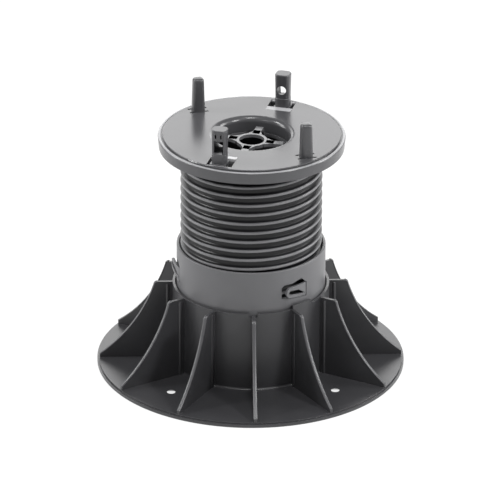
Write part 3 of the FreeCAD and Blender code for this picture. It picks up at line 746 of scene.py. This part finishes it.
def build_post(sizes, number):
    """A rounded post with its screw eyelet, pocket and two grooves, on its node's own neck and leg."""
    node = f"eyelet_post_{number}"
    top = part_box(node)[1].z
    eye = HEAD_TOP + sizes.eyelet_height
    bm = bmesh.new()
    loft(bm, upstand_rings(
        HEAD_TOP - sizes.post_seat, top, sizes.post_base, sizes.post_tip, sizes.post_corner,
        sizes.post_dome,
    ))
    post = new_piece(f"post_moulding_{number}", bm)
    # The eyelet goes right through, the pocket lies round it and the grooves over it
    eyelet = bmesh.new()
    bmesh.ops.create_cone(
        eyelet, segments=EYELET_SIDES, radius1=sizes.eyelet_radius, radius2=sizes.eyelet_radius,
        depth=20 * MM, cap_ends=True,
        matrix=Matrix.Translation((0, 0, eye)) @ Matrix.Rotation(math.pi / 2, 4, "X"),
    )
    cut_away(post, [cut_box(*POCKET, eye), eyelet, *(cut_box(*groove, eye) for groove in GROOVES)])

    # The boss around the foot of the shaft, and the neck's own top
    bm = bmesh.new()
    boss = (sizes.boss_half, sizes.boss_half)
    loft(bm, upstand_rings(
        HEAD_TOP - sizes.boss_seat, HEAD_TOP + sizes.boss_height, boss, boss, sizes.boss_corner,
        sizes.boss_dome,
    ))
    outward = Matrix.Translation((0, 0.6 * MM, 0))
    levels = (HEAD_TOP - 1.0 * MM, HEAD_TOP - 0.02 * MM)
    loft(bm, [
        [outward @ Vector(point) for point in rounded_ring(*sizes.neck_half, 0.3 * MM, level)]
        for level in levels
    ])
    bm.from_mesh(post.data)
    bm.to_mesh(post.data)
    bm.free()
    turn = Matrix.Rotation(sizes.head_turn + math.pi * (number - 1), 4, "Z")
    place = turn @ Matrix.Translation((sizes.post_along, sizes.post_out, 0))
    join_below(post, keep_below(node, HEAD_TOP + MARGIN), place)
    smooth_mesh(post.data, 35)
    add_bevel(post, sizes.post_round)
    finish_piece(post, "lift", "upstand", "upstand_plastic", node)


def window_lip(bm, sizes, side):
    """The flat lip along a window's inner (-1) or outer (1) edge: the inner one is bent a little up, the
    outer one slopes gently into the window."""
    edge = sizes.window_out + side * sizes.window_width / 2
    far = edge + side * (sizes.lip_width if side < 0 else sizes.lip_width / 2)
    rise = sizes.lip_rise if side < 0 else -sizes.lip_drop
    section = [
        (far, HEAD_TOP), (edge, HEAD_TOP + rise), (edge, HEAD_TOP - 3 * sizes.lip_drop),
        (far, HEAD_TOP - sizes.lip_drop),
    ]
    half = sizes.window_length / 2
    ends = [
        [bm.verts.new((along, out, z)) for out, z in section]
        for along in (sizes.window_along - half, sizes.window_along + half)
    ]
    for i in range(4):
        j = (i + 1) % 4
        bm.faces.new((ends[0][i], ends[0][j], ends[1][j], ends[1][i]))
    bm.faces.new(reversed(ends[0]))
    bm.faces.new(ends[1])
    bmesh.ops.recalc_face_normals(bm, faces=bm.faces)


# Operators, one for each group of pieces

class PEDESTAL_OT_foot(bpy.types.Operator):
    """Dress the ribbed foot"""

    bl_idname = "pedestal.foot"
    bl_label = "Foot"

    def execute(self, context):
        sizes = context.scene.pedestal_sizes
        foot = dress("base_foot", "foot_moulding", "foot", "foot", "foot_plastic", sizes.foot_round)

        # The screw holes open out below, so that the ground shows through them
        centres = [
            Vector(xy) * sizes.screw_circle / math.sqrt(2) for xy in ((1, 1), (-1, 1), (-1, -1), (1, -1))
        ]
        for vertex in foot.data.vertices:
            for centre in centres:
                way = vertex.co.xy - centre
                if vertex.co.z < 0.5 * MM and way.length < sizes.screw_hole * 1.1:
                    vertex.co.xy = centre + way * sizes.screw_flare

        # The ribs' outer edges are thickened to a bead, painted paler as a highlight
        bm = bmesh.new()
        line = rib_edge()
        for number in range(RIB_COUNT):
            rib_bead(bm, sizes, line, 2 * math.pi / RIB_COUNT * number)
        bmesh.ops.recalc_face_normals(bm, faces=bm.faces)
        beads = new_piece("rib_beads", bm)
        smooth_mesh(beads.data, 60)
        finish_piece(beads, "foot", "bead", "foot_plastic")
        return {"FINISHED"}


class PEDESTAL_OT_collar(bpy.types.Operator):
    """Dress the collar and its three levers"""

    bl_idname = "pedestal.collar"
    bl_label = "Collar"

    def execute(self, context):
        sizes = context.scene.pedestal_sizes
        # The collar and its levers take the paler collar plastic: a painted sheen
        dress(
            "adjusting_collar", "collar_moulding", "collar", "collar", "collar_plastic", sizes.lever_round,
        )
        for number in (1, 2, 3):
            dress(
                f"lock_lever_{number}", f"lever_moulding_{number}", f"lever_{number}", "collar",
                "collar_plastic", sizes.lever_round,
            )
        return {"FINISHED"}


class PEDESTAL_OT_riser(bpy.types.Operator):
    """Build the threaded riser with rounded threads"""

    bl_idname = "pedestal.riser"
    bl_label = "Riser"

    def execute(self, context):
        sizes = context.scene.pedestal_sizes
        bore = sizes.thread_root - RISER_WALL

        # The hub, its spokes and the tube's inside keep the solid's own faces
        bm = bmesh.new()
        bm.from_mesh(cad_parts["riser_tube"].data)
        outside = [v for v in bm.verts if math.hypot(v.co.x, v.co.y) > bore + 0.5 * MM]
        bmesh.ops.delete(bm, geom=outside, context="VERTS")
        clean(bm)
        for number in range(SPOKE_COUNT):
            hub_gusset(bm, sizes, sizes.head_turn + 2 * math.pi / SPOKE_COUNT * number)
        hub = new_piece("riser_hub", bm)
        smooth_mesh(hub.data)
        add_bevel(hub, sizes.hub_round)
        # The hub piece takes the pale hub plastic: a painted highlight
        finish_piece(hub, "lift", "hub", "riser_plastic", "riser_tube")

        bm = bmesh.new()
        inside = bore + 0.02 * MM
        lathe(bm, [
            (inside, RISER_LOW.z), (sizes.thread_root, RISER_LOW.z),
            (sizes.thread_root, RISER_HIGH.z), (inside, RISER_HIGH.z),
        ], WALL_STEPS)
        wall = new_piece("riser_wall", bm)
        smooth_mesh(wall.data)
        # The wall between the threads takes the near-black riser plastic: a painted shade in the valleys
        finish_piece(wall, "lift", "riser", "riser_plastic")

        # A narrow rounded thread with hollow flanks; shares of its depth and of half its base
        depth, half = sizes.thread_crest - sizes.thread_root, sizes.thread_base / 2
        shape = [
            (-0.13, 1.11), (0, 0.95), (0.17, 0.74), (0.43, 0.57), (0.72, 0.49), (0.87, 0.41), (0.96, 0.27),
        ]
        lower = [(sizes.thread_root + depth * out, -half * wide) for out, wide in shape]
        upper = [(radius, -rise) for radius, rise in reversed(lower)]
        bm = bmesh.new()
        sweep_helix(
            bm, lower + [(sizes.thread_crest, 0.0)] + upper, sizes.head_turn, sizes.thread_start,
            sizes.thread_pitch, sizes.thread_turns, THREAD_STEPS,
        )
        thread = new_piece("riser_thread", bm)
        smooth_mesh(thread.data, 85)  # so wide that the flanks shade as one surface
        # The thread's plastic paints shade in its valleys and a highlight on its crests
        finish_piece(thread, "lift", "riser", "riser_plastic")
        return {"FINISHED"}


class PEDESTAL_OT_head(bpy.types.Operator):
    """Dress the head plate and its upstands"""

    bl_idname = "pedestal.head"
    bl_label = "Head"

    def execute(self, context):
        sizes = context.scene.pedestal_sizes
        dress("head_plate", "head_moulding", "lift", "head", "head_plastic", sizes.edge_round)

        # A rounded bead runs round the rim, below the plate's top; its pale edge plastic paints a
        # highlight
        bm = bmesh.new()
        lathe(bm, [
            (
                sizes.rim_radius + sizes.rim_half * math.cos(2 * math.pi * step / RIM_SIDES),
                sizes.rim_height + sizes.rim_rise * math.sin(2 * math.pi * step / RIM_SIDES),
            )
            for step in range(RIM_SIDES)
        ], RIM_STEPS)
        bmesh.ops.recalc_face_normals(bm, faces=bm.faces)
        rim = new_piece("rim_bead", bm)
        smooth_mesh(rim.data, 60)
        finish_piece(rim, "lift", "edge", "head_plastic")

        for number in (1, 2):
            for side in (-1, 1):
                bm = bmesh.new()
                window_lip(bm, sizes, side)
                turn = Matrix.Rotation(sizes.head_turn + math.pi * number, 4, "Z")
                bmesh.ops.transform(bm, matrix=turn, verts=bm.verts)
                edge = {-1: "inner", 1: "outer"}[side]
                lip = new_piece(f"{edge}_window_lip_{number}", bm)
                smooth_mesh(lip.data)
                add_bevel(lip, sizes.lever_round)
                # The lips take the pale lip plastic: a painted highlight along the windows
                finish_piece(lip, "lift", "lip", "head_plastic")
            build_pin(sizes, number)
            build_post(sizes, number)
        return {"FINISHED"}


# Lamps: name, place, size across and up, and power in watts; the back softbox gives the head's pale
# reflection, the small lamps the highlights on edges and crests
LAMPS = (
    ("back_softbox", (0.0, 1.7, 0.72), (2.2, 1.15), 22.5),
    ("top_lamp", (0.05, -0.45, 1.65), (0.3, 0.2), 11),
    ("left_softbox", (-1.4, 0.3, 0.55), (0.5, 1.0), 13),
    ("right_softbox", (1.4, 0.1, 0.55), (0.5, 1.0), 18),
    ("left_lamp", (-1.35, 0.1, 1.3), (0.2, 0.2), 10),
    ("front_left_lamp", (-1.0, -1.0, 1.1), (0.4, 0.3), 3),
    ("front_right_lamp", (1.15, -0.9, 1.25), (0.25, 0.25), 16),
)
LAMP_TARGET = Vector((0, 0, 0.09))
AIR_STRENGTH = 0.3


def add_softbox(name, place, size, watts):
    """A soft rectangular lamp that faces the object's middle."""
    light = bpy.data.lights.new(name, "AREA")
    light.shape = "RECTANGLE"
    light.size, light.size_y = size
    light.energy = watts
    lamp = bpy.data.objects.new(name, light)
    lamp.location = place
    lamp.rotation_euler = (LAMP_TARGET - Vector(place)).to_track_quat("-Z", "Y").to_euler()
    lamp.visible_camera = False
    bpy.context.scene.collection.objects.link(lamp)


class PEDESTAL_OT_stage(bpy.types.Operator):
    """Set the floor, the lamps and the camera"""

    bl_idname = "pedestal.stage"
    bl_label = "Stage"

    def execute(self, context):
        scene = context.scene
        bm = bmesh.new()
        bmesh.ops.create_grid(bm, x_segments=1, y_segments=1, size=6.0)
        floor = new_piece("studio_floor", bm)
        floor.data.materials.append(studio_floor("matt_paper_sweep", scene.pedestal_colours.floor))

        for lamp in LAMPS:
            add_softbox(*lamp)

        world = scene.world or bpy.data.worlds.new("studio_air")
        scene.world = world
        world.use_nodes = True
        air = world.node_tree.nodes["Background"]
        air.inputs["Color"].default_value = (1, 1, 1, 1)
        air.inputs["Strength"].default_value = AIR_STRENGTH
        scene.view_settings.view_transform = "Standard"

        # Camera: fitted to the foot's rim, the head's rim and the upstands
        azimuth, elevation, roll = (math.radians(angle) for angle in (-2.0, 25.433, 0.302))
        distance, focal_px, frame_px = 4.521, 6972.8, 500
        target = Vector((-0.0007, 0.0, 0.07888))
        back = Vector((
            math.sin(azimuth) * math.cos(elevation), -math.cos(azimuth) * math.cos(elevation),
            math.sin(elevation),
        ))
        data = bpy.data.cameras.new("photo_camera")
        data.sensor_width = 36.0
        data.lens = focal_px / frame_px * data.sensor_width
        camera = bpy.data.objects.new("photo_camera", data)
        turn = (-back).to_track_quat("-Z", "Y").to_matrix().to_4x4() @ Matrix.Rotation(roll, 4, "Z")
        camera.matrix_world = Matrix.Translation(target + back * distance) @ turn
        data.clip_end = 50.0
        scene.collection.objects.link(camera)
        scene.camera = camera
        return {"FINISHED"}


class PEDESTAL_PT_panel(bpy.types.Panel):
    """Lists the pedestal's steps"""

    bl_idname = "PEDESTAL_PT_panel"
    bl_label = "Decking pedestal"
    bl_space_type = "VIEW_3D"
    bl_region_type = "UI"
    bl_category = "Pedestal"

    def draw(self, context):
        for name in ("edge_round", "foot_round", "lever_round", "thread_pitch", "thread_turns"):
            self.layout.prop(context.scene.pedestal_sizes, name)
        for name in ("foot", "collar", "riser", "head", "upstand", "floor", "roughness"):
            self.layout.prop(context.scene.pedestal_colours, name)
        for step in STEPS:
            self.layout.operator(step.bl_idname)


STEPS = (PEDESTAL_OT_foot, PEDESTAL_OT_collar, PEDESTAL_OT_riser, PEDESTAL_OT_head, PEDESTAL_OT_stage)
CLASSES = (PedestalSizes, PedestalColours, *STEPS, PEDESTAL_PT_panel)


def register():
    for cls in CLASSES:
        bpy.utils.register_class(cls)
    bpy.types.Scene.pedestal_sizes = PointerProperty(type=PedestalSizes)
    bpy.types.Scene.pedestal_colours = PointerProperty(type=PedestalColours)


def unregister():
    del bpy.types.Scene.pedestal_colours
    del bpy.types.Scene.pedestal_sizes
    for cls in reversed(CLASSES):
        bpy.utils.unregister_class(cls)


def main():
    register()
    for step in STEPS:
        group, name = step.bl_idname.split(".")
        getattr(getattr(bpy.ops, group), name)()


if __name__ == "__main__":
    main()
